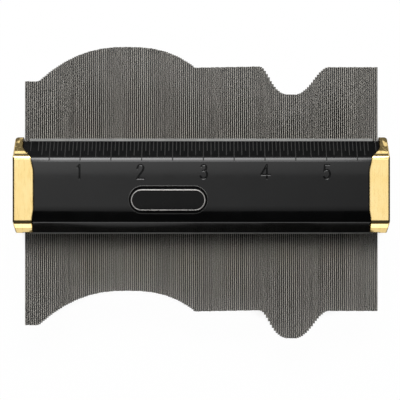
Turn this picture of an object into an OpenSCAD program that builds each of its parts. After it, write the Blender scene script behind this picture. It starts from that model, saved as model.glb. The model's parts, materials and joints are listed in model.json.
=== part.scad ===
// Contour gauge: a row of sliding steel pins held between two guide plates
// inside a two-part pressed steel casing, closed by a brass cap at each end.
// The gauge lies on its back. X runs along the casing, Y along the pins, Z up
// through the front of the casing. The origin is on the surface it lies on,
// below the middle of its whole outline. Millimetres and degrees.

/* [Pins] */
// Diameter of one pin
pin_d = 0.79; // [0.6:0.01:1.2]
// Length of one pin
pin_len = 101.6; // [80:0.1:130]
// Gap between neighbouring pins
pin_play = 0.026; // [0.02:0.002:0.1]
// Chamfer at the ends of a pin
pin_chamfer = 0.1; // [0.02:0.01:0.2]
// Pins that slide as one group
pins_per_group = 4; // [1:1:8]
// Number of groups in the row
pin_groups = 45; // [20:1:45]

/* [Profile held by the pins] */
// Height of the foot at the left end, from the casing's centre line
foot_h = 43.7; // [35:0.1:48]
// Where the crown starts, along the casing
crown_left = -67.7; // [-70:0.1:-60]
// Where the crown is highest
crown_x = -31.7; // [-45:0.1:-20]
// Height of the crown
crown_h = 58.0; // [50:0.1:62]
// Where the crown ends
crown_right = -2.6; // [-10:0.1:10]
// How square the left side of the crown is
crown_left_power = 2.3; // [1.5:0.1:4]
// How square the right side of the crown is
crown_right_power = 2.7; // [1.5:0.1:4]
// Height of the shoulder beside the crown
shoulder_h = 49.4; // [45:0.1:52]
// Height of the shoulder beside the valley
brink_h = 49.9; // [45:0.1:52]
// Where the valley starts
valley_left = 24.3; // [15:0.1:30]
// Where the valley is deepest
valley_x = 38.3; // [34:0.1:44]
// Height of the valley's bottom
valley_h = 38.2; // [30:0.1:44]
// Where the valley ends
valley_right = 53; // [50:0.1:62]
// How hollow the left side of the valley is
valley_left_power = 1.75; // [1:0.05:3]
// How hollow the right side of the valley is
valley_right_power = 1.2; // [1:0.05:3]
// Height of the land at the right end
land_h = 49.6; // [45:0.1:52]
// How far single pins stand off the profile
scatter = 0.09; // [0:0.01:0.3]

/* [Casing] */
// Thickness of the casing sheet
casing_t = 0.8; // [0.5:0.05:1.2]
// Height of the casing's outer face above the middle of the pins
face_h = 7.5; // [6:0.1:10]
// Distance of the upper bend from the centre line
top_bend_y = 10.9; // [10.5:0.1:11.5]
// Distance of the lower bend from the centre line
bottom_bend_y = 14.2; // [12.5:0.05:17]
// Slope of the upper bevel, which carries the scale
top_slope = 35.5; // [33:0.5:40]
// Slope of the lower bevel
bottom_slope = 49; // [38:1:60]
// Middle-line radius of the upper bend
top_bend_r = 4.2; // [0.8:0.1:4.4]
// Middle-line radius of the lower bend
bottom_bend_r = 3; // [1.5:0.1:3.5]
// Distance of the lower roll from the centre line
low_roll_y = 10.3; // [8:0.1:11]
// Slope of the face between the lower roll and the lower bend
low_roll_slope = 7; // [3:0.5:10]
// Middle-line radius of the lower roll
low_roll_r = 30; // [10:1:40]
// Distance of the upper roll from the centre line
high_roll_y = 5.5; // [4.5:0.1:6.5]
// Slope of the face between the upper roll and the upper bend
high_roll_slope = 4; // [2:0.5:6]
// Middle-line radius of the upper roll
high_roll_r = 110; // [40:5:120]

/* [Guide plates] */
// Thickness of a guide plate
plate_t = 0.5; // [0.3:0.05:0.8]
// Distance from the end of the pin row to the end of a plate
plate_inset = 2.2; // [0.5:0.1:4]
// How far a plate stands out of the casing at the scale side
plate_out_top = 1.05; // [0.4:0.05:1.6]
// How far a plate stands out of the casing at the other side
plate_out_bottom = 0.6; // [0.3:0.05:1.2]

/* [Pressure pads] */
// Distance from the end of the pin row to the end of a pad
pad_inset = 3; // [1:0.5:10]
// Distance from the upper roll to the upper side of a pad
pad_top = 0.3; // [0:0.1:3]
// Distance from the lower roll to the lower side of a pad
pad_bottom = 0.3; // [0:0.1:3]

/* [End blocks] */
// Length of an end block along the casing
block_l = 3.5; // [2.5:0.1:6]

/* [End caps] */
// Thickness of the cap sheet
cap_t = 0.55; // [0.4:0.05:0.8]
// How far the cap reaches over the casing's flat face
cap_cover = 8.55; // [8:0.05:12]
// How far the cap's shoulder reaches over the upper bend
cap_shoulder = 7.35; // [6:0.05:7.8]
// How far the cap's neck reaches over the scale bevel
cap_neck = 3.85; // [2.5:0.05:3.9]
// Distance above the centre line from which the cap's edge slants to the shoulder
cap_slant_y = 6.5; // [3:0.1:8]
// Distance of the cap's shoulder above the centre line
cap_shoulder_y = 12.1; // [11:0.1:13]
// Distance of the cap's neck above the centre line
cap_neck_y = 15.6; // [14.8:0.1:16.5]
// Radius of the cap's edge where the slant begins
cap_slant_r = 6; // [1:0.5:10]
// Radius of the cap's shoulder
cap_shoulder_r = 2; // [0.5:0.1:2.5]
// Radius of the hollow at the cap's neck
cap_neck_r = 3.5; // [1:0.5:4]
// How far the cap's edge is drawn in over the lower bend
cap_waist = 0.6; // [0.2:0.05:1]
// Distance of the drawn-in edge past the lower bend
cap_waist_l = 1.4; // [0.8:0.1:2]
// Length over which the edge runs out again
cap_waist_run = 3.4; // [2:0.1:4]
// Radius of the corners of the drawn-in edge
cap_waist_r = 2; // [0.5:0.1:3]
// Radius of the cap's bends, along the middle line of the casing below them
cap_bend_r = 1.6; // [0.8:0.1:2.5]
// How far the cap's upper bend stands outside the casing's upper bend
cap_ease_top = 0.6; // [0.3:0.05:0.8]
// How far the cap's lower bend stands outside the casing's lower bend
cap_ease_bottom = 0.4; // [0.1:0.05:0.6]
// How far the cap's upper bevel stands outside the casing's upper edge
cap_loose_top = 0.3; // [0.1:0.05:0.5]
// How far the cap's lower bevel stands outside the casing's lower edge
cap_loose_bottom = 1.45; // [0.3:0.05:1.5]
// How far the cap's lower bevel bulges in its middle
cap_belly = 0.1; // [0.03:0.01:0.2]
// Radius of that bulge
cap_belly_r = 12; // [5:1:20]
// How far the end wall leans in at its upper edge
cap_lean_top = 0.5; // [0.1:0.05:0.8]
// How far the end wall leans in at its lower edge
cap_lean_bottom = 0.9; // [0.1:0.05:1.2]
// Radius of the end wall's upper corner, seen from the front
cap_top_r = 1.3; // [0.5:0.1:1.5]
// Radius of the end wall's lower corner, seen from the front
cap_bottom_r = 0.5; // [0.3:0.1:1]
// Radius where the end wall starts to lean in
cap_lean_r = 3; // [1:0.5:6]
// Width of the chamfer round the end of the cap
cap_chamfer = 0.6; // [0.2:0.05:0.7]
// Slope of that chamfer
cap_chamfer_slope = 32; // [25:1:45]
// Distance of the cap's upper edge past the casing's upper edge
cap_top = 1.6; // [1.2:0.05:2]
// Distance of the cap's lower edge past the casing's lower edge
cap_bottom = 0.2; // [0.1:0.05:0.4]
// Distance of the flanges' lower edge above the casing's lower edge
cap_lift = 0.1; // [0.05:0.05:0.6]

/* [Scale] */
// Length of one unit of the scale
unit_l = 25.4; // [10:0.1:25.4]
// Divisions of one unit
unit_parts = 16; // [8:8:16]
// Shift of the scale's middle mark from the casing's middle
scale_shift = 0.85; // [-3:0.05:3]
// Width of a mark
mark_w = 0.36; // [0.2:0.02:0.6]
// Depth of a mark
mark_deep = 0.12; // [0.05:0.01:0.25]
// Length of the shortest marks across the bevel
mark_short = 4.1; // [2:0.1:5]
// Length of the marks at every second part
mark_middle = 6; // [5.1:0.1:6.4]
// Length of the marks at every fourth part
mark_long = 6.9; // [6.5:0.1:7.4]
// Length of the half-unit and unit marks, which cross the bend
mark_full = 8.2; // [7.5:0.1:9]
// Gap between the last mark and the cap
mark_margin = 0.6; // [0.2:0.1:2]

/* [Bare name plate] */
// Distance of the plate's middle left of the casing's middle
badge_x = 13.65; // [-20:0.05:20]
// Distance of the plate's middle below the centre line
badge_y = 5.65; // [0:0.05:6]
// Length of the plate's recess
badge_l = 32.4; // [32:0.1:40]
// Height of the plate's recess
badge_h = 11.3; // [10:0.1:12]
// Depth of the recess
badge_deep = 0.25; // [0.1:0.05:0.35]
// Length over the raised rim
rim_l = 30.8; // [20:0.1:31.4]
// Height over the raised rim
rim_h = 8.9; // [6:0.1:9.4]
// Width of the raised rim
rim_w = 0.6; // [0.3:0.05:1]

/* [Clearances] */
// Gap between the pins and a guide plate
pin_fit = 0.05; // [0.02:0.01:0.15]
// Gap between a guide plate and what presses on it
plate_fit = 0.05; // [0.02:0.01:0.15]
// Gap between the casing and the cap round it
cap_fit = 0.05; // [0.02:0.01:0.15]
// Gap between an end block and what it fits in
block_fit = 0.08; // [0.05:0.01:0.2]

/* [Hidden] */
$fn = 48;
bend_error = 0.002;     // largest distance of a bend's strips from its true radius
bend_least = 3;         // fewest strips of a bend
cut = 1;                // how far a cutting shape passes the face it cuts

// Pins and what lies against them
pin_r = pin_d / 2;
pin_pitch = pin_d + pin_play;
pin_count = pins_per_group * pin_groups;
row_l = pin_count * pin_pitch;
plate_in = pin_r + pin_fit;
plate_out = plate_in + plate_t;
seat = plate_out + plate_fit;

// Casing outline, from its lower to its upper edge, along the middle of the
// sheet: [distance from the centre line, height above the middle of the pins]
mid_t = casing_t / 2;
face_mid = face_h - mid_t;
high_roll = [high_roll_y, face_mid];
low_roll = [-low_roll_y, face_mid];
top_bend = [top_bend_y, face_mid - (top_bend_y - high_roll_y) * tan(high_roll_slope)];
bottom_bend = [-bottom_bend_y, face_mid - (bottom_bend_y - low_roll_y) * tan(low_roll_slope)];
top_run = (top_bend.y - seat - mid_t * cos(top_slope)) / tan(top_slope);
bottom_run = (bottom_bend.y - seat - mid_t * cos(bottom_slope)) / tan(bottom_slope);
top_end = [top_bend.x + top_run, seat + mid_t * cos(top_slope)];
bottom_end = [bottom_bend.x - bottom_run, seat + mid_t * cos(bottom_slope)];
casing_path = [bottom_end, bottom_bend, low_roll, high_roll, top_bend, top_end];
casing_radii = [0, bottom_bend_r, low_roll_r, high_roll_r, top_bend_r, 0];
edge_top = top_end.x + mid_t * sin(top_slope);
edge_bottom = bottom_end.x - mid_t * sin(bottom_slope);

// The caps have no rolls: their face is plain and runs on past the casing's bends
cap_low_end = bottom_end - [cap_loose_bottom, 0];
cap_low_bend = [-bottom_bend_y - cap_ease_bottom, face_mid];
cap_high_bend = [top_bend_y + cap_ease_top, face_mid];
cap_path = [
    cap_low_end,
    (cap_low_end + cap_low_bend) / 2 + cap_belly * left(unit(cap_low_bend - cap_low_end)),
    cap_low_bend,
    cap_high_bend,
    top_end + [cap_loose_top, 0]
];
cap_radii = [0, cap_belly_r, cap_bend_r, cap_bend_r, 0];

// Lengths along X
casing_l = row_l + 2 * (block_fit + block_l);
cap_end = casing_l / 2 + cap_fit + cap_t;
cap_edge = cap_end - cap_cover;
cap_neck_x = cap_end - cap_neck;
plate_l = row_l - 2 * plate_inset;
pad_l = row_l - 2 * pad_inset;

// Distances along Y
plate_top = edge_top + plate_out_top;
plate_bottom = edge_bottom - plate_out_bottom;
cap_nose_top = edge_top + cap_top;
cap_nose_bottom = edge_bottom - cap_bottom;

// The pins' upper ends, and the shift that puts the origin below the middle
pin_tops = [for (i = [0 : pin_count - 1]) profile(pin_x(i)) + stray(i)];
frame_y = (pin_len - max(pin_tops) - min(pin_tops)) / 2;
frame_z = face_h + cap_fit + cap_t;

function group_name(g) = str("pins_", g < 10 ? "0" : "", g);

// Directions and turns in a plane
function unit(v) = v / norm(v);
function left(v) = [-v.y, v.x];
function turn(a, b) = atan2(a.x * b.y - a.y * b.x, a * b);
function spin(v, a) = [v.x * cos(a) - v.y * sin(a), v.x * sin(a) + v.y * cos(a)];
function reversed(list) = [for (i = [len(list) - 1 : -1 : 0]) list[i]];

// One bend of a path at p, between a and b, seen at a distance to its left
function bend(a, p, b, r, side) =
    let (
        u = unit(p - a),
        w = turn(u, unit(b - p)),
        s = sign(w),
        centre = p - u * (r * tan(abs(w) / 2)) + left(u) * (s * r),
        steps = max(bend_least, ceil(abs(w) / (2 * acos(1 - bend_error / r))))
    )
    [for (k = [0 : steps]) centre - left(spin(u, w * k / steps)) * (s * r - side)];

// A path with its bends, moved to its left by a distance
function bent(path, radii, side) =
    let (n = len(path) - 1)
    concat(
        [path[0] + left(unit(path[1] - path[0])) * side],
        [for (i = [1 : n - 1]) each bend(path[i - 1], path[i], path[i + 1], radii[i], side)],
        [path[n] + left(unit(path[n] - path[n - 1])) * side]
    );

// Where a line through p reaches the middle of the pins
function foot(p, way) = [p.x - way.x * p.y / way.y, 0];

// The largest radius that a bend can have if it may use a length on both sides
function room(a, p, b, l) = l / tan(abs(turn(p - a, b - p)) / 2);

// Half of the fall or rise of a cosine wave
function ease(t) = (1 - cos(180 * t)) / 2;

// Where pin i stands, and the height of the profile there
function pin_x(i) = (i - (pin_count - 1) / 2) * pin_pitch;
function profile(x) =
    x < crown_left ? foot_h :
    x < crown_x ? crown_side(foot_h, (crown_x - x) / (crown_x - crown_left), crown_left_power) :
    x < crown_right ? crown_side(shoulder_h, (x - crown_x) / (crown_right - crown_x), crown_right_power) :
    x < valley_left ? shoulder_h + (brink_h - shoulder_h) * (x - crown_right) / (valley_left - crown_right) :
    x < valley_x ? valley_side(brink_h, (valley_x - x) / (valley_x - valley_left), valley_left_power) :
    x < valley_right ? valley_side(land_h, (x - valley_x) / (valley_right - valley_x), valley_right_power) :
    land_h;
function crown_side(end_h, t, power) = crown_h - (crown_h - end_h) * pow(t, power);
function valley_side(end_h, t, power) = valley_h + (end_h - valley_h) * ease(pow(t, power));
function stray(i) = scatter * sin(i * 97) * sin(i * 41 + 25);

// Extrudes a shape drawn in [Y, Z] along X, from x0 to x1
module along_x(x0, x1) {
    translate([x0, 0, 0]) rotate([90, 0, 90]) linear_extrude(x1 - x0) children();
}

// Turns a piece of the front into the same piece of the back
module to_back() {
    mirror([0, 0, 1]) children();
}

// Puts a piece that is drawn round the middle of the casing into its place
module placed() {
    translate([0, frame_y, frame_z]) children();
}

// A closed outline round the front and the back, grown by a distance over the
// casing, with the bevels of both running on until they meet
module outline(path, radii, grow) {
    side = mid_t + grow;
    n = len(path) - 1;
    line = bent(path, radii, side);
    face = [for (i = [1 : len(line) - 2]) line[i]];
    polygon(concat(
        [foot(line[0], path[1] - path[0])],
        face,
        [foot(line[len(line) - 1], path[n] - path[n - 1])],
        [for (p = reversed(face)) [p.x, -p.y]]
    ));
}

// A rectangle with round ends
module stadium(l, h) {
    square([l - h, h], center = true);
    for (s = [-1, 1]) translate([s * (l - h) / 2, 0]) circle(d = h);
}

// How far a cap's end wall, moved in by a distance, stands from the middle
function wall_x(y, inset) = cap_end - inset - (
    y < cap_low_bend.x ? cap_lean_bottom * (cap_low_bend.x - y) / (cap_low_bend.x - cap_nose_bottom) :
    y > cap_high_bend.x ? cap_lean_top * (y - cap_high_bend.x) / (cap_nose_top - cap_high_bend.x) : 0);

// What lies inside a cap's end wall, moved in by a distance, from low to high
module in_end(low, high, inset) {
    edge = [
        [-cut, low], [wall_x(low, inset), low],
        [cap_end - inset, cap_low_bend.x], [cap_end - inset, cap_high_bend.x],
        [wall_x(high, inset), high], [-cut, high]
    ];
    translate([0, 0, -frame_z - cut]) linear_extrude(2 * (frame_z + cut))
        polygon(bent(edge, [0, cap_bottom_r, cap_lean_r, cap_lean_r, cap_top_r, 0], 0));
}

// The pressed sheet of one casing half, with its lower corners cut back for the caps
module casing_shell() {
    difference() {
        intersection() {
            along_x(-cap_end, cap_end) polygon(concat(
                bent(casing_path, casing_radii, mid_t),
                reversed(bent(casing_path, casing_radii, -mid_t))
            ));
            for (s = [0, 1]) mirror([s, 0, 0])
                in_end(cap_nose_bottom - cut, cap_nose_top + cut, cap_t + cap_fit);
        }
        for (s = [0, 1]) mirror([s, 0, 0]) translate([cap_neck_x - cap_fit, edge_bottom - cut, 0])
            cube([casing_l, cap_nose_bottom + cap_t + cap_fit - edge_bottom + cut, face_h]);
    }
}

// A groove across the scale bevel, of even depth under the sheet's surface
module mark(x, l) {
    floor_edge = bent(casing_path, casing_radii, mid_t - mark_deep);
    above = bent(casing_path, casing_radii, mid_t + cut);
    along_x(x - mark_w / 2, x + mark_w / 2) intersection() {
        polygon(concat(above, reversed(floor_edge)));
        translate([edge_top - l, 0]) square([l + cut, face_h + 2 * cut]);
    }
}

// Length of the mark that is k parts from the middle one
function mark_length(k) =
    k % (unit_parts / 2) == 0 ? mark_full :
    k % (unit_parts / 4) == 0 ? mark_long :
    k % 2 == 0 ? mark_middle : mark_short;

// All the marks that fit between the caps
module scale_marks() {
    part_l = unit_l / unit_parts;
    reach = cap_neck_x - mark_margin;
    first = ceil((-reach - scale_shift) / part_l);
    last = floor((reach - scale_shift) / part_l);
    for (k = [first : last]) {
        x = scale_shift + k * part_l;
        if (abs(x) < cap_edge - mark_margin || mark_length(k) == mark_short) mark(x, mark_length(k));
    }
}

// The recess of the bare name plate, with the rim left standing in it
module badge_recess() {
    translate([-badge_x, -badge_y, face_h - badge_deep]) linear_extrude(badge_deep + cut) difference() {
        stadium(badge_l, badge_h);
        difference() {
            stadium(rim_l, rim_h);
            stadium(rim_l - 2 * rim_w, rim_h - 2 * rim_w);
        }
    }
}

module front_casing() {
    color([0.06, 0.06, 0.065]) difference() {
        casing_shell();
        scale_marks();
        badge_recess();
    }
}

module rear_casing() {
    color([0.06, 0.06, 0.065]) to_back() casing_shell();
}

// All that lies under the face between two points of the cap's path, grown by
// a distance, with a chamfer towards the end wall
module end_chamfer(a, b, grow) {
    slope = atan2(b.y - a.y, b.x - a.x);
    reach = cross(b - a, a) / norm(b - a) + mid_t + grow;
    rise = tan(cap_chamfer_slope);
    rotate([slope, 0, 0]) rotate([90, 0, 0]) linear_extrude(8 * frame_z, center = true) polygon([
        [0, -4 * frame_z], [cap_end + cut, -4 * frame_z],
        [cap_end + cut, reach - (cap_chamfer + cut) * rise],
        [cap_end - cap_chamfer - cut, reach + cut * rise], [0, reach + cut * rise]
    ]);
}

// The full outside of a cap
module cap_outside() {
    grow = cap_fit + cap_t;
    intersection() {
        along_x(cap_edge, cap_end + cut) outline(cap_path, cap_radii, grow);
        in_end(cap_nose_bottom, cap_nose_top, 0);
        intersection_for (i = [0 : len(cap_path) - 2]) end_chamfer(cap_path[i], cap_path[i + 1], grow);
        to_back() intersection_for (i = [0 : len(cap_path) - 2])
            end_chamfer(cap_path[i], cap_path[i + 1], grow);
    }
}

// What is cut off a cap as seen from the front: its edge over the face, drawn in
// at the lower bend, its neck over the scale and the gap for the pins
module cap_trim() {
    waist_y = cap_low_bend.x + cap_waist_l;
    edge = [
        [cap_edge + cap_waist, cap_nose_bottom - cut],
        [cap_edge + cap_waist, waist_y],
        [cap_edge, waist_y + cap_waist_run],
        [cap_edge, cap_slant_y],
        [cap_end - cap_shoulder, cap_shoulder_y],
        [cap_neck_x, cap_neck_y],
        [cap_neck_x, cap_nose_top + cut]
    ];
    slant = norm(edge[5] - edge[4]);
    radii = [
        0, cap_waist_r, cap_waist_r, cap_slant_r,
        min(cap_shoulder_r, room(edge[3], edge[4], edge[5], slant * 0.35)),
        min(cap_neck_r, room(edge[4], edge[5], edge[6], slant * 0.6)),
        0
    ];
    polygon(concat(bent(edge, radii, 0), [
        [cap_edge - cut, cap_nose_top + cut], [cap_edge - cut, cap_nose_bottom - cut]
    ]));
    translate([cap_edge - cut, cap_nose_bottom - cut])
        square([cap_neck_x - cap_edge + cut, edge_bottom + cap_lift - cap_nose_bottom + cut]);
}

// The room inside a cap: closed at its end, open below where the pins pass
module cap_inside() {
    intersection() {
        along_x(cap_edge - cut, cap_end) outline(cap_path, cap_radii, cap_fit);
        union() {
            in_end(cap_nose_bottom + cap_t, cap_nose_top - cap_t, cap_t);
            translate([0, 2 * cap_nose_bottom, -frame_z])
                cube([cap_neck_x, -2 * cap_nose_bottom, 2 * frame_z]);
        }
    }
}

module right_end_cap() {
    color([0.86, 0.66, 0.3]) difference() {
        cap_outside();
        cap_inside();
        translate([0, 0, -frame_z - cut]) linear_extrude(2 * (frame_z + cut)) cap_trim();
    }
}

module left_end_cap() {
    mirror([1, 0, 0]) right_end_cap();
}

module front_guide_plate() {
    color([0.55, 0.55, 0.54])
        translate([-plate_l / 2, plate_bottom, plate_in]) cube([plate_l, plate_top - plate_bottom, plate_t]);
}

module rear_guide_plate() {
    to_back() front_guide_plate();
}

// A sponge rubber strip that fills the casing above a guide plate
module front_pressure_pad() {
    low = -low_roll_y + low_roll_r * tan(low_roll_slope / 2) + pad_bottom;
    high = high_roll_y - high_roll_r * tan(high_roll_slope / 2) - pad_top;
    color([0.12, 0.12, 0.13]) translate([-pad_l / 2, low, seat])
        cube([pad_l, high - low, face_h - casing_t - plate_fit - seat]);
}

module rear_pressure_pad() {
    to_back() front_pressure_pad();
}

// A spacer that keeps both casing halves apart beside the row of pins
module right_end_block() {
    color([0.5, 0.5, 0.5]) intersection() {
        along_x(row_l / 2 + block_fit, cap_end) outline(casing_path, casing_radii, -casing_t - block_fit);
        in_end(cap_nose_bottom + cap_t + block_fit, edge_top, cap_t + cap_fit + block_fit);
    }
}

module left_end_block() {
    mirror([1, 0, 0]) right_end_block();
}

// One pin with its chamfered ends, standing at its place on the profile
module pin(i) {
    translate([pin_x(i), pin_tops[i], 0]) rotate([90, 0, 0]) rotate_extrude() polygon([
        [0, 0], [pin_r - pin_chamfer, 0], [pin_r, pin_chamfer],
        [pin_r, pin_len - pin_chamfer], [pin_r - pin_chamfer, pin_len], [0, pin_len]
    ]);
}

// Neighbouring pins that slide together
module pin_group(g) {
    first = (g - 1) * pins_per_group;
    color([0.42, 0.41, 0.39]) for (i = [first : first + pins_per_group - 1]) pin(i);
}

placed() front_casing();
placed() rear_casing();
placed() left_end_cap();
placed() right_end_cap();
placed() front_guide_plate();
placed() rear_guide_plate();
placed() front_pressure_pad();
placed() rear_pressure_pad();
placed() left_end_block();
placed() right_end_block();
for (g = [1 : pin_groups]) placed() pin_group(g);
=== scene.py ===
import json
import math
import bmesh
import bpy
import numpy as np
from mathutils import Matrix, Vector
from mathutils.bvhtree import BVHTree


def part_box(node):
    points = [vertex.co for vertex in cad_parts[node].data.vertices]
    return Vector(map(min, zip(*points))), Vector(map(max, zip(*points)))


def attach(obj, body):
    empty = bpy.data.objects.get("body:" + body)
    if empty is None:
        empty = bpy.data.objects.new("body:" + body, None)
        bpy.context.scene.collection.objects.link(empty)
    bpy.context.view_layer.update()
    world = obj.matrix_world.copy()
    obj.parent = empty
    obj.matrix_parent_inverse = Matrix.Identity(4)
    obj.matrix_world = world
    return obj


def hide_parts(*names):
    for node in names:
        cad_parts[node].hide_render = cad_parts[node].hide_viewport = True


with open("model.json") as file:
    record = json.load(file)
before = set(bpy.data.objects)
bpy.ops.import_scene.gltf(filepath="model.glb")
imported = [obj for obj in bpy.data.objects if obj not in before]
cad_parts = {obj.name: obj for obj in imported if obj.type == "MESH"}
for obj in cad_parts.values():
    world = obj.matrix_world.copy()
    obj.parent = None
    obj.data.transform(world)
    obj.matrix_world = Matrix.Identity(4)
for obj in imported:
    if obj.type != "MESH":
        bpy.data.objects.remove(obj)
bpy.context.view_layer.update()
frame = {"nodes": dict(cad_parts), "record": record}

MM = 0.001
scene = bpy.context.scene
nodes = frame["nodes"]

# The casing's centre line, its front face and the middle of the pins, in metres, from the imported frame
MID_Y = frame["record"]["mounts"][0]["pos_m"][1]
FACE_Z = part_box("front_casing")[1][2]
PIN_Z = (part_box("front_casing")[0][2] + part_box("rear_casing")[1][2]) / 2

# Sizes are in millimetres, heights on the casing count from its centre line

# The scale: a unit and its parts, how far its middle stands right of the casing's, a mark's width,
# and the height above which the marks are rubbed
UNIT = 25.4
PART = UNIT / 16
SHIFT = 0.85
MARK_W = 0.36
MARKS_Y = 10.0

# The numerals: half the width of a pressed V groove, its slope in degrees and the share of it that is cut,
# the height of their foot, how far their middle lies above it and how far each stands right of its mark
GROOVE_W = 0.34
GROOVE_SLOPE = 27.0
GROOVE_CUT = 0.8
FOOT_Y = 3.0
MIDDLE = 2.85
ASIDE = {"1": -0.5, "2": -0.5, "3": 0.2, "4": 0.2, "5": 0.0}

# The fine sheet that holds a numeral: half its width and height, and its mesh; how deep a pocket makes
# room for it, and how far off a corner or a pocket's floor may lie where faces are picked
SHEET = (2.6, 3.6)
FINE = 0.06
POCKET_DEEP = 0.6
SLACK = 0.01
FLOOR_SLACK = 0.05

# The bare name plate: how far its middle lies left of the casing's and below the centre line, its length
# and height, and its raised rim
PLATE_X = 13.65
PLATE_Y = 5.65
PLATE_L = 32.4
PLATE_H = 11.3
RIM_L = 30.8
RIM_H = 8.9
RIM_W = 0.6

# What lies less than FRONT_DEEP below the face belongs to the front; between the HOLLOW_DEEP depths
# the plate's hollow begins
FRONT_DEEP = 0.5
HOLLOW_DEEP = (0.2, 0.12)

# The rim's bare metal, how far it lies low on the rim and how far into the round ends it darkens; the line
# of painted highlight outside the plate's edge, and between which heights over the plate's middle it grows
# bright
BARE_W = 0.42
BARE_DROP = 0.1
BARE_FADE = 3.0
EDGE_W = 0.28
EDGE_OUT = 0.08
EDGE_BRIGHT = (0.5, 4.5)

# Painted sheen: between these heights the enamel's reflection is painted stronger up to the upper bend,
# fades to the lower bend, comes back below it and fades to the foot; it also fades along the casing
SHEEN_TOP = (5.8, 10.3)
SHEEN_LOW = (-11.0, -8.0)
SHEEN_BACK = (-13.9, -13.1)
SHEEN_FOOT = (-16.2, -15.2)
SHEEN_ALONG = (-70.0, 70.0)

# The caps' flat face ends at CAP_TOP and they end below at CAP_FOOT; how far their bent faces roll, droop
# and wave, and how far from those heights each of these starts and ends
CAP_TOP = 12.97
CAP_FOOT = -18.9
CAP_ROLL = 0.14
CAP_DROOP = 0.16
CAP_WAVE = 0.26
ROLL_SPAN = (0.4, 1.5)
DROOP_SPAN = (0.0, 1.7)
WAVE_SPAN = (0.0, 3.0)

# The tone of the pins changes about once a pin
TONE_STEP = 0.816


# Materials

class Nodes:
    """A material with short ways to add nodes."""

    def __init__(self, name):
        self.mat = bpy.data.materials.new(name)
        self.mat.use_nodes = True
        self.tree = self.mat.node_tree

    def put(self, socket, value):
        """Sets a number, vector or colour on a socket, or links another node's output to it."""
        if isinstance(value, (int, float)):
            socket.default_value = value
        elif isinstance(value, tuple):
            socket.default_value = value if socket.type == "VECTOR" else (*value, 1)
        else:
            self.tree.links.new(value, socket)

    def node(self, kind, inputs=None, **props):
        n = self.tree.nodes.new("ShaderNode" + kind)
        for key, value in props.items():
            setattr(n, key, value)
        for key, value in (inputs or {}).items():
            self.put(n.inputs[key], value)
        return n

    def calc(self, op, a, b=0.0):
        return self.node("Math", {0: a, 1: b}, operation=op).outputs["Value"]

    def times(self, first, *others):
        for other in others:
            first = self.calc("MULTIPLY", first, other)
        return first

    def remap(self, value, low, high, span=(0.3, 0.7)):
        """low at the start of the span and before it, high at its end and past it."""
        inputs = {"Value": value, "From Min": span[0], "From Max": span[1], "To Min": low, "To Max": high}
        return self.node("MapRange", inputs).outputs["Result"]


class Shader(Nodes):
    """A Principled material with helpers for patterns, masks and bumps in the object's own coordinates."""

    def __init__(self, name, base, metallic, roughness):
        super().__init__(name)
        self.bsdf = self.tree.nodes["Principled BSDF"]
        self.set("Base Color", base)
        self.set("Metallic", metallic)
        self.set("Roughness", roughness)
        self.mat.diffuse_color = (*base, 1)
        self.coord = self.node("TexCoord").outputs["Object"]

    def set(self, name, value):
        self.put(self.bsdf.inputs[name], value)

    def noise(self, scale, detail, rough, stretch=(1, 1, 1)):
        place = self.node("Mapping", {"Vector": self.coord, "Scale": stretch}).outputs["Vector"]
        inputs = {"Vector": place, "Scale": scale, "Detail": detail, "Roughness": rough}
        return self.node("TexNoise", inputs).outputs["Fac"]

    def ramp(self, value, low, high):
        """A colour between two stops, each a position and a colour."""
        n = self.node("ValToRGB", {"Fac": value})
        for stop, (position, color) in zip(n.color_ramp.elements, (low, high)):
            stop.position = position
            stop.color = (*color, 1)
        return n.outputs["Color"]

    def mix(self, share, a, b):
        return self.node("Mix", {"Factor": share, 6: a, 7: b}, data_type="RGBA").outputs[2]

    def axis(self, which, vector=None):
        return self.node("SeparateXYZ", {"Vector": vector or self.coord}).outputs[which]

    def height(self):
        """Height over the casing's centre line in millimetres."""
        return self.calc("DIVIDE", self.calc("SUBTRACT", self.axis("Y"), MID_Y), MM)

    def soften(self, radius, samples=6):
        return self.node("Bevel", {"Radius": radius}, samples=samples).outputs["Normal"]

    def edge_mask(self, radius, span=(0.75, 0.99)):
        """1 on edges that a bevel would round, 0 on flat faces."""
        normal = self.node("NewGeometry").outputs["Normal"]
        inputs = {0: self.soften(radius, 8), 1: normal}
        dot = self.node("VectorMath", inputs, operation="DOT_PRODUCT").outputs["Value"]
        return self.remap(dot, 1.0, 0.0, span)

    def past_straight(self, length, height):
        """How far a point lies beyond the straight part of the bare name plate's outline."""
        x = self.calc("ABSOLUTE", self.calc("ADD", self.axis("X"), PLATE_X * MM))
        return self.calc("MAXIMUM", self.calc("SUBTRACT", x, (length - height) / 2 * MM), 0.0)

    def round_end(self, length, height, drop=0.0):
        """Distance from the middle line of the bare name plate's round-ended outline."""
        x = self.past_straight(length, height)
        y = self.calc("SUBTRACT", self.axis("Y"), MID_Y - (PLATE_Y + drop) * MM)
        return self.calc("SQRT", self.calc("ADD", self.times(x, x), self.times(y, y)))

    def band(self, away, width, where):
        """1 on a line as many millimetres wide, within the mask where."""
        half = width / 2 * MM
        line = self.remap(self.calc("ABSOLUTE", away), 1.0, 0.0, (half * 0.84, half * 1.04))
        return self.times(line, where)

    def bump(self, height, strength, depth, normal):
        inputs = {"Height": height, "Strength": strength, "Distance": depth, "Normal": normal}
        return self.node("Bump", {k: v for k, v in inputs.items() if v is not None}).outputs["Normal"]

    def surface(self, color, rough, height, strength, depth, normal=None):
        self.set("Base Color", color)
        self.set("Roughness", rough)
        self.set("Normal", self.bump(height, strength, depth, normal))
        return self.mat


def from_height(start, span):
    """The two heights that lie as far from the start as the span says."""
    return start + span[0], start + span[1]


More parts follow.
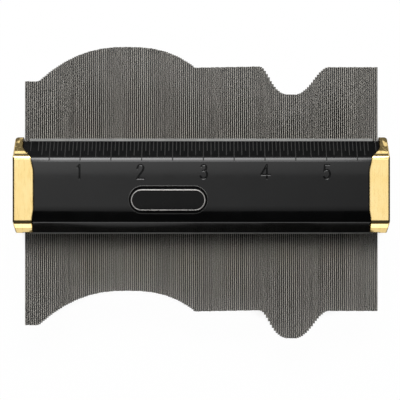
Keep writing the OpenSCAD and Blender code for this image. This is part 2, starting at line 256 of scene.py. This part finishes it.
def plate_masks(s):
    """Masks of the bare name plate: bare metal on its rim, a painted highlight along its edge, hollow, and
    all inside the rim.
    """
    rim = s.calc("SUBTRACT", s.round_end(RIM_L, RIM_H, BARE_DROP), (RIM_H - RIM_W) / 2 * MM)
    edge = s.calc("SUBTRACT", s.round_end(PLATE_L, PLATE_H), PLATE_H / 2 * MM)
    front = s.calc("GREATER_THAN", s.axis("Z"), FACE_Z - FRONT_DEEP * MM)
    deep = s.remap(s.axis("Z"), 1.0, 0.0, tuple(FACE_Z - d * MM for d in HOLLOW_DEEP))
    bare = s.band(rim, BARE_W, s.calc("SUBTRACT", 1.0, deep))
    # Painted highlight: the line along the plate's edge grows bright towards the top, where the light falls.
    upper = s.remap(s.height(), 0.15, 0.9, from_height(-PLATE_Y, EDGE_BRIGHT))
    edge_highlight = s.times(s.band(s.calc("SUBTRACT", edge, EDGE_OUT * MM), EDGE_W, front), upper)
    hollow = s.times(s.calc("LESS_THAN", edge, 0.0), deep, front)
    inner = s.calc("LESS_THAN", rim, 0.0)
    return bare, edge_highlight, hollow, inner


def painted_face_sheen(s):
    """Painted sheen: the enamel's reflection set stronger or weaker over the height and the length of the
    casing.
    """
    y = s.height()
    face = s.times(s.remap(y, 0.93, 1.11, SHEEN_TOP), s.remap(y, 0.4, 1.0, SHEEN_LOW))
    level = s.calc("ADD", face, s.remap(y, 0.8, 0.0, SHEEN_BACK))
    along = s.remap(s.axis("X"), 1.3, 0.8, tuple(x * MM for x in SHEEN_ALONG))
    return s.times(level, s.remap(y, 0.6, 1.0, SHEEN_FOOT), along)


def enamel():
    """Black enamel, dull in the bare name plate, bare metal on its rim, a painted highlight on its edge,
    painted shade along the caps and a painted sheen.
    """
    s = Shader("black_enamel", (0.003, 0.003, 0.0033), 0.0, 0.14)
    s.set("IOR", 1.34)
    bare, edge_highlight, hollow, inner = plate_masks(s)
    worn = s.noise(500, 4, 0.6)
    tone = s.ramp(s.noise(60, 4, 0.6), (0.3, (0.0016, 0.0017, 0.0018)), (0.7, (0.0034, 0.0035, 0.0036)))
    metal = s.ramp(worn, (0.3, (0.54, 0.515, 0.495)), (0.7, (0.76, 0.74, 0.72)))
    ends = s.remap(s.past_straight(RIM_L, RIM_H), 0.0, 0.7, (0.0, BARE_FADE * MM))
    tone = s.mix(bare, tone, s.mix(ends, metal, (0.1, 0.096, 0.092)))
    # Painted highlight: a light line along the plate's edge.
    tone = s.mix(edge_highlight, tone, (0.17, 0.168, 0.163))
    s.set("Metallic", bare)
    rough = s.remap(s.noise(240, 4, 0.6), 0.08, 0.13)
    rough = s.calc("ADD", rough, s.times(bare, s.remap(worn, 0.12, 0.22)))
    rough = s.calc("ADD", rough, s.times(inner, hollow, s.remap(worn, 0.15, 0.3)))
    # Painted shade: the enamel's reflection is dimmed close beside the caps, where they stand over it.
    cap_shade = s.node("AmbientOcclusion", {"Distance": 0.7 * MM}, samples=8).outputs["AO"]
    dull = s.times(hollow, s.calc("SUBTRACT", 0.92, s.times(inner, 0.4)))
    gloss = s.times(s.remap(cap_shade, 0.0, 0.5, (0.6, 0.8)), s.calc("SUBTRACT", 1.0, dull))
    # The painted sheen over the face scales the enamel's reflection here, together with the painted shade by
    # the caps.
    s.set("Specular IOR Level", s.times(gloss, painted_face_sheen(s)))
    peel = s.noise(1100, 2, 0.5)
    return s.surface(tone, rough, peel, 0.03, 0.03 * MM, s.soften(0.12 * MM))


def rubbed_enamel():
    """Dull enamel in the pressed marks of the scale."""
    s = Shader("rubbed_enamel", (0.02, 0.02, 0.02), 0.0, 0.6)
    s.set("Specular IOR Level", 0.3)
    patch = s.noise(420, 4, 0.65)
    tone = s.ramp(patch, (0.3, (0.001, 0.001, 0.001)), (0.7, (0.010, 0.010, 0.0096)))
    return s.surface(tone, s.remap(patch, 0.55, 0.68), patch, 0.1, 0.03 * MM)


def brass():
    """Bright brass with painted shade along its edges and fine lines, and with soft rolls and waves on the
    caps' bent faces.
    """
    s = Shader("bright_brass", (0.90, 0.69, 0.29), 1.0, 0.1)
    tone = s.ramp(s.noise(120, 4, 0.6), (0.25, (0.83, 0.605, 0.24)), (0.75, (0.885, 0.69, 0.33)))
    streak = s.noise(260, 4, 0.6, (5, 0.7, 0.7))
    tone = s.mix(s.remap(streak, 0.0, 0.3, (0.5, 0.75)), tone, (0.55, 0.34, 0.08))
    # Painted shade: a dark line along every edge of the caps.
    tone = s.mix(s.edge_mask(0.9 * MM, (0.93, 0.995)), tone, (0.05, 0.027, 0.002))
    rough = s.remap(s.noise(300, 2, 0.5, (6, 0.6, 0.6)), 0.09, 0.12)
    y = s.height()
    roll = s.remap(y, 0.0, CAP_ROLL, from_height(CAP_TOP, ROLL_SPAN))
    roll = s.calc("ADD", roll, s.remap(y, -CAP_DROOP, 0.0, from_height(CAP_FOOT, DROOP_SPAN)))
    above = s.remap(y, 0.0, CAP_WAVE, from_height(CAP_TOP, WAVE_SPAN))
    wave = s.times(s.noise(420, 1, 0.4, (1.4, 0.6, 0.6)), above)
    bent = s.bump(s.calc("ADD", roll, wave), 1.0, MM, s.soften(0.3 * MM))
    ripple = s.noise(170, 1, 0.4)
    return s.surface(tone, rough, ripple, 0.3, 0.1 * MM, bent)


def wire():
    """Drawn steel wire, a tone for every pin, grime along the pins and painted shade on the sides between
    them.
    """
    s = Shader("drawn_wire", (0.30, 0.29, 0.27), 0.0, 0.5)
    s.set("Specular IOR Level", 0.03)
    cell = s.calc("FLOOR", s.calc("DIVIDE", s.axis("X"), TONE_STEP * MM))
    chance = s.node("TexWhiteNoise", {"W": cell}, noise_dimensions="1D").outputs["Value"]
    tone = s.ramp(chance, (0.0, (0.45, 0.43, 0.388)), (1.0, (0.54, 0.515, 0.465)))
    grime = s.noise(90, 1, 0.5, (8, 0.25, 1))
    tone = s.mix(s.remap(grime, 0.0, 0.3, (0.45, 0.75)), tone, (0.10, 0.093, 0.082))
    # Painted shade: the sides of each wire are darkened nearly to black.
    aside = s.calc("ABSOLUTE", s.axis("X", s.node("NewGeometry").outputs["Normal"]))
    flank_shade = s.remap(aside, 0.0, 1.0, (0.16, 0.36))
    tone = s.mix(flank_shade, tone, (0.004, 0.0037, 0.0033))
    lines = s.noise(700, 3, 0.6, (6, 0.12, 6))
    rough = s.calc("ADD", s.remap(lines, 0.42, 0.58), s.times(flank_shade, 0.3))
    return s.surface(tone, rough, lines, 0.05, 0.03 * MM)


def sheet_steel(name, base, wear, metallic, dull):
    """Rolled sheet steel, with bright edges where it wears."""
    s = Shader(name, base, metallic, dull)
    tone = s.ramp(s.noise(150, 4, 0.6), (0.3, tuple(c * 0.78 for c in base)), (0.7, base))
    lines = s.noise(600, 3, 0.6, (0.5, 9, 9))
    rough = s.remap(lines, dull - 0.08, dull + 0.08)
    if wear:
        tone = s.mix(s.times(s.edge_mask(0.12 * MM), 0.5), tone, (0.62, 0.61, 0.59))
    return s.surface(tone, rough, lines, 0.06, 0.03 * MM, s.soften(0.1 * MM))


def sponge():
    """Black sponge rubber with open cells."""
    s = Shader("sponge_rubber", (0.035, 0.035, 0.036), 0.0, 0.85)
    cells = s.node("TexVoronoi", {"Vector": s.coord, "Scale": 1800}).outputs["Distance"]
    tone = s.ramp(cells, (0.0, (0.015, 0.015, 0.016)), (0.6, (0.05, 0.05, 0.052)))
    return s.surface(tone, s.remap(cells, 0.9, 0.75, (0, 0.7)), cells, 0.4, 0.2 * MM)


def white_floor():
    """White where the camera or a reflection sees it, with the object's shadow close below it."""
    s = Nodes("white_floor")
    s.tree.nodes.clear()
    matt = s.node("BsdfDiffuse", {"Color": (0.86, 0.86, 0.86)}).outputs[0]
    glow = s.node("Emission", {"Strength": 1.0}).outputs[0]
    path = s.node("LightPath").outputs
    seen = s.calc("MAXIMUM", path["Is Camera Ray"], path["Is Glossy Ray"])
    seen = s.calc("MAXIMUM", seen, path["Is Transmission Ray"])
    shade = s.node("AmbientOcclusion", {"Distance": 20 * MM}, samples=8).outputs["AO"]
    share = s.times(seen, 0.985, s.remap(shade, 0.0, 1.0, (0.1, 0.5)))
    mixed = s.node("MixShader", {0: share, 1: matt, 2: glow}).outputs[0]
    s.node("OutputMaterial", {"Surface": mixed})
    return s.mat


ENAMEL = enamel()
RUBBED = rubbed_enamel()
BRASS = brass()
WIRE = wire()
PLATE = sheet_steel("guide_plate_steel", (0.29, 0.29, 0.28), True, 0.5, 0.62)
BLOCK = sheet_steel("spacer_steel", (0.30, 0.30, 0.30), False, 1.0, 0.38)
PAD = sponge()
WHITE = white_floor()


def dress(obj, mat, angle=30):
    """Gives a piece its material, and smooth shading where its faces meet at less than the angle."""
    me = obj.data
    me.materials.clear()
    me.materials.append(mat)
    me.polygons.foreach_set("material_index", [0] * len(me.polygons))
    me.polygons.foreach_set("use_smooth", [True] * len(me.polygons))
    me.set_sharp_from_angle(angle=math.radians(angle))
    even = obj.modifiers.new("even_faces", "WEIGHTED_NORMAL")
    even.keep_sharp = True
    even.weight = 100


for name, obj in nodes.items():
    if name.startswith("pins_"):
        dress(obj, WIRE, 40)
    elif name.endswith("casing"):
        dress(obj, ENAMEL, 20)
    elif name.endswith("end_cap"):
        dress(obj, BRASS, 20)
    elif name.endswith("guide_plate"):
        dress(obj, PLATE)
    elif name.endswith("end_block"):
        dress(obj, BLOCK)
    else:
        dress(obj, PAD)


# Pressed numerals and rubbed marks of the scale

STROKES = {
    "1": [("line", [(-0.55, 4.75), (0.3, 5.7), (0.3, 0)])],
    "2": [("curve", [(-1.3, 4.1), (-1.1, 4.95), (-0.55, 5.5), (0.05, 5.65), (0.75, 5.4), (1.2, 4.75),
                     (1.15, 3.9), (0.65, 2.9), (-0.2, 1.8), (-1.35, 0.05)]),
          ("line", [(-1.4, 0), (1.4, 0)])],
    "3": [("curve", [(-1.1, 5.0), (-0.55, 5.55), (0.1, 5.65), (0.8, 5.3), (1.05, 4.55), (0.75, 3.7),
                     (0.0, 3.3), (-0.45, 3.25)]),
          ("curve", [(0.0, 3.3), (0.95, 2.75), (1.35, 1.7), (1.0, 0.55), (0.05, 0.0), (-0.85, 0.2),
                     (-1.4, 1.0)])],
    "4": [("line", [(0.55, 0), (0.55, 5.7), (-1.85, 1.55), (1.9, 1.55)])],
    "5": [("line", [(1.15, 5.65), (-0.75, 5.65), (-1.0, 3.05)]),
          ("curve", [(-1.0, 3.05), (-0.4, 3.5), (0.3, 3.55), (1.0, 3.1), (1.35, 1.95), (1.05, 0.75),
                     (0.3, 0.05), (-0.55, 0.1), (-1.2, 0.7)])],
}
BOX_FACES = ((0, 3, 2, 1), (4, 5, 6, 7), (0, 1, 5, 4), (1, 2, 6, 5), (2, 3, 7, 6), (3, 0, 4, 7))


def smooth(points, steps=6):
    """A Catmull-Rom curve through the points."""
    out = []
    last = len(points) - 1
    for i in range(last):
        a, b, c, d = (Vector(points[max(0, min(last, i + k))]) for k in (-1, 0, 1, 2))
        for j in range(steps):
            t = j / steps
            bend = (2 * a - 5 * b + 4 * c - d) * t ** 2 + (3 * b - a - 3 * c + d) * t ** 3
            out.append((2 * b + (c - a) * t + bend) / 2)
    out.append(Vector(points[last]))
    return out


def strokes(digit):
    """The segments of a numeral's strokes, as rows of x0, y0, x1, y1."""
    rows = []
    for kind, points in STROKES[digit]:
        points = smooth(points) if kind == "curve" else [Vector(p) for p in points]
        rows += [(a.x, a.y, b.x, b.y) for a, b in zip(points, points[1:])]
    return np.array(rows)


def groove(digit, x, y):
    """Depth of the pressed V groove of a numeral under each point."""
    x0, y0, x1, y1 = (c[:, None] for c in strokes(digit).T)
    dx, dy = x1 - x0, y1 - y0
    t = np.clip(((x - x0) * dx + (y - y0) * dy) / np.maximum(dx * dx + dy * dy, 1e-12), 0, 1)
    away = np.hypot(x - x0 - t * dx, y - y0 - t * dy).min(axis=0)
    slope = math.tan(math.radians(GROOVE_SLOPE))
    return np.clip(GROOVE_W - away, 0, GROOVE_CUT * GROOVE_W) * slope


def spot(cx, u, v):
    """Where on the casing the point u, v lies, counted from the middle of the numeral at cx."""
    return (cx + u) * MM, MID_Y + (FOOT_Y + MIDDLE + v) * MM


def numeral_sheet(digit, cx, skin):
    """A fine sheet over a numeral that follows the casing's face and dips into its grooves."""
    wide, tall = SHEET
    columns, rows = (round(2 * half / FINE) for half in SHEET)
    u, v = np.meshgrid(np.linspace(-wide, wide, columns + 1), np.linspace(-tall, tall, rows + 1))
    down = Vector((0, 0, -1))
    top = [skin.ray_cast(Vector((*spot(cx, 0, w), FACE_Z + MM)), down)[0].z for w in v[:, 0]]
    z = np.array(top)[:, None] - groove(digit, u.ravel(), v.ravel() + MIDDLE).reshape(u.shape) * MM
    verts = [(*spot(cx, a, b), c) for a, b, c in zip(u.ravel(), v.ravel(), z.ravel())]
    row = columns + 1
    starts = [j * row + i for j in range(rows) for i in range(columns)]
    return verts, [(k, k + 1, k + row + 1, k + row) for k in starts]


def pocket_corners(cx):
    """The corners of a box that cuts the room of a numeral's sheet out of the casing's face."""
    wide, tall = SHEET
    return [(*spot(cx, sx * wide, sy * tall), z) for z in (FACE_Z - POCKET_DEEP * MM, FACE_Z + MM)
            for sx, sy in ((-1, -1), (1, -1), (1, 1), (-1, 1))]


def in_pocket(face, cx):
    """Whether a face belongs to the walls or the floor of the pocket at cx."""
    wide, tall = (half + SLACK for half in SHEET)
    return all(abs(v.co.x / MM - cx) < wide and abs((v.co.y - MID_Y) / MM - FOOT_Y - MIDDLE) < tall
               for v in face.verts)


def cut_casing(places):
    """A copy of the front casing with a pocket at every numeral."""
    cutter = bpy.data.meshes.new("pockets")
    cutter.from_pydata([v for _, cx in places for v in pocket_corners(cx)], [],
                       [[i + 8 * k for i in face] for k in range(len(places)) for face in BOX_FACES])
    cut_obj = bpy.data.objects.new("pockets", cutter)
    obj = bpy.data.objects.new("front_casing_numbered", nodes["front_casing"].data.copy())
    for o in (obj, cut_obj):
        scene.collection.objects.link(o)
    mod = obj.modifiers.new("pockets", "BOOLEAN")
    mod.operation = "DIFFERENCE"
    mod.solver = "EXACT"
    mod.object = cut_obj
    me = bpy.data.meshes.new_from_object(obj.evaluated_get(bpy.context.evaluated_depsgraph_get()))
    obj.modifiers.clear()
    obj.data = me
    bpy.data.objects.remove(cut_obj)
    return obj


def press_numerals(me, places, skin):
    """Opens the pockets and lays the numerals' sheets into them."""
    lowest = FACE_Z - (POCKET_DEEP + FLOOR_SLACK) * MM
    bm = bmesh.new()
    bm.from_mesh(me)
    walls = [f for f in bm.faces if f.calc_center_median().z > lowest
             and any(in_pocket(f, cx) for _, cx in places)]
    bmesh.ops.delete(bm, geom=walls, context="FACES")
    bmesh.ops.dissolve_limit(bm, angle_limit=math.radians(0.1), verts=bm.verts, edges=bm.edges)
    for digit, cx in places:
        verts, faces = numeral_sheet(digit, cx, skin)
        new = [bm.verts.new(v) for v in verts]
        for f in faces:
            bm.faces.new([new[i] for i in f])
    bm.to_mesh(me)
    bm.free()


def rub_marks(me):
    """Gives the pressed marks the rubbed enamel."""
    me.materials.append(RUBBED)
    for poly in me.polygons:
        xs = [me.vertices[i].co.x / MM for i in poly.vertices]
        middle = SHIFT + PART * round((sum(xs) / len(xs) - SHIFT) / PART)
        in_mark = max(abs(x - middle) for x in xs) < MARK_W / 2 + SLACK
        if in_mark and poly.center.y > MID_Y + MARKS_Y * MM:
            poly.material_index = 1


def pressed_casing():
    """The front casing with its numerals, in place of the CAD one."""
    skin = BVHTree.FromObject(nodes["front_casing"], bpy.context.evaluated_depsgraph_get())
    middle = len(ASIDE) // 2
    places = [(digit, SHIFT + (k - middle) * UNIT + aside)
              for k, (digit, aside) in enumerate(ASIDE.items())]
    obj = cut_casing(places)
    press_numerals(obj.data, places, skin)
    dress(obj, ENAMEL, 20)
    rub_marks(obj.data)
    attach(obj, "casing")
    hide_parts("front_casing")


pressed_casing()


# Floor, light and camera, in metres and watts

def stage_mesh(name, verts, faces):
    me = bpy.data.meshes.new(name)
    me.from_pydata(verts, [], faces)
    obj = bpy.data.objects.new(name, me)
    scene.collection.objects.link(obj)
    me.materials.append(WHITE)


def area(name, place, target, size, power, gloss=True, fill=True):
    """A lamp that faces the target; without gloss it isn't reflected, without fill it is only reflected."""
    lamp = bpy.data.lights.new(name, "AREA")
    lamp.shape = "RECTANGLE"
    lamp.size, lamp.size_y = size
    lamp.energy = power
    obj = bpy.data.objects.new(name, lamp)
    obj.location = place
    toward = Vector(target) - Vector(place)
    obj.rotation_euler = toward.to_track_quat("-Z", "Y").to_euler()
    obj.visible_camera = False
    obj.visible_glossy = gloss
    obj.visible_diffuse = fill
    scene.collection.objects.link(obj)


# A round floor and a low wall around it
REACH = 3.0
TALL = 0.4
SIDES = 48
FLOOR_Z = -0.0001
turns = [2 * math.pi * i / SIDES for i in range(SIDES)]
circle = [(REACH * math.cos(a), REACH * math.sin(a)) for a in turns]
stage_mesh("floor", [(x, y, FLOOR_Z) for x, y in circle], [list(range(SIDES))])
stage_mesh("backdrop", [(x, y, z) for z in (FLOOR_Z, TALL) for x, y in circle],
           [(i, (i + 1) % SIDES, (i + 1) % SIDES + SIDES, i + SIDES) for i in range(SIDES)])

mid = (0, MID_Y, PIN_Z)
area("overhead", (0, -0.0175, 1.0), (0, -0.0175, 0), (0.62, 0.205), 0.45)
area("overhead_back", (0, 0.1925, 1.0), (0, 0.1925, 0), (0.62, 0.215), 0.8, fill=False)
area("bend_high", (0, 0.4015, 0.861), mid, (0.36, 0.267), 1.66, fill=False)
area("bend_middle", (0, 0.598, 0.738), mid, (0.36, 0.2), 2.26, fill=False)
area("bend_low", (0, 0.7285, 0.6105), mid, (0.36, 0.17), 1.35, fill=False)
area("back_key", (0, 0.709, 0.554), mid, (0.9, 0.25), 4.4)
area("back_low", (0, 0.839, 0.446), mid, (1.2, 0.233), 14.0, gloss=False)
area("cap_glow", (0, 0.8645, 0.394), mid, (1.2, 0.1162), 0.57, fill=False)
area("back_wall", (0, 1.6, 0.3), mid, (3.0, 0.7), 0.7)
area("front_strip", (0, -1.5, 0.15), mid, (3.0, 0.3), 3.94, fill=False)

world = bpy.data.worlds.new("studio")
scene.world = world
world.use_nodes = True
sky = world.node_tree.nodes["Background"].inputs
sky["Color"].default_value = (1, 1, 1, 1)
sky["Strength"].default_value = 0.06

# The camera looks straight down on the front face, where PIXELS pixels of this width fill the picture
PIXEL = 0.4115 * MM
PIXELS = 400
AWAY = 0.6
SENSOR = 36
VIEW_X = -0.535 * MM
VIEW_Y = MID_Y - 5.75 * MM
cam = bpy.data.cameras.new("camera")
cam.sensor_width = SENSOR
cam.lens = SENSOR * AWAY / (PIXELS * PIXEL)
cam.clip_end = 50
cam_obj = bpy.data.objects.new("camera", cam)
cam_obj.location = (VIEW_X, VIEW_Y, FACE_Z + AWAY)
scene.collection.objects.link(cam_obj)
scene.camera = cam_obj

scene.view_settings.view_transform = "Standard"
